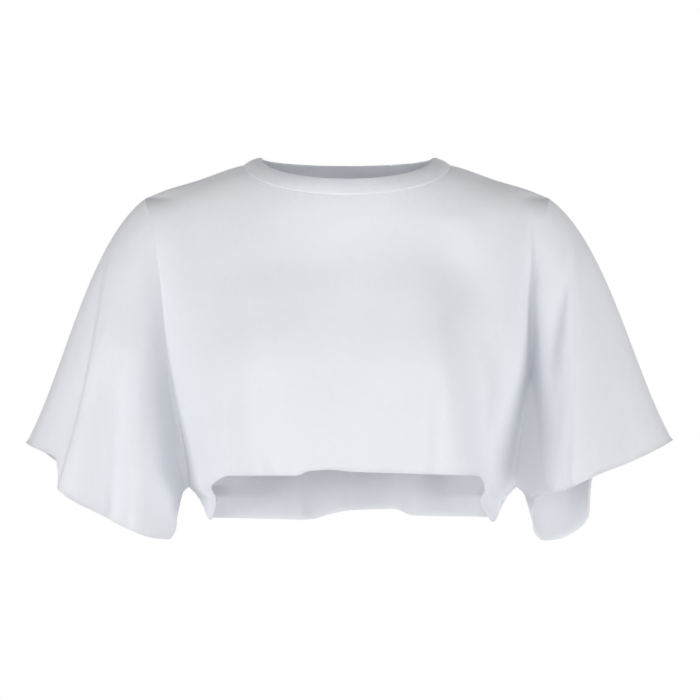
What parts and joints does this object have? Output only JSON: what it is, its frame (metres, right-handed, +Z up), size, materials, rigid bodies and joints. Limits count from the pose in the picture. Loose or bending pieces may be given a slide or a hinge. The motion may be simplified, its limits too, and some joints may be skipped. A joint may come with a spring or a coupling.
{
  "type": "t-shirt",
  "caption": "Oversized cropped T-shirt in worn, hollow form, with drop-shoulder elbow-length sleeves, a ribbed crew neckband and raw-cut hems.",
  "frame": {"origin": "middle of the neck opening, at the height where the shoulder seams meet the neckband", "axes": "+Z up, the front faces -Y, +X towards the wearer's left"},
  "size_m": [0.6784, 0.2217, 0.4028],
  "materials": {
    "front": "matte white cotton jersey",
    "back": "matte white cotton jersey",
    "sleeve_right": "matte white cotton jersey",
    "sleeve_left": "matte white cotton jersey",
    "neckband": "matte white cotton rib"
  },
  "bodies": {
    "root": {"front": "front", "back": "back", "sleeve_right": "sleeve_right", "sleeve_left": "sleeve_left", "neckband": "neckband"}
  },
  "joints": []
}
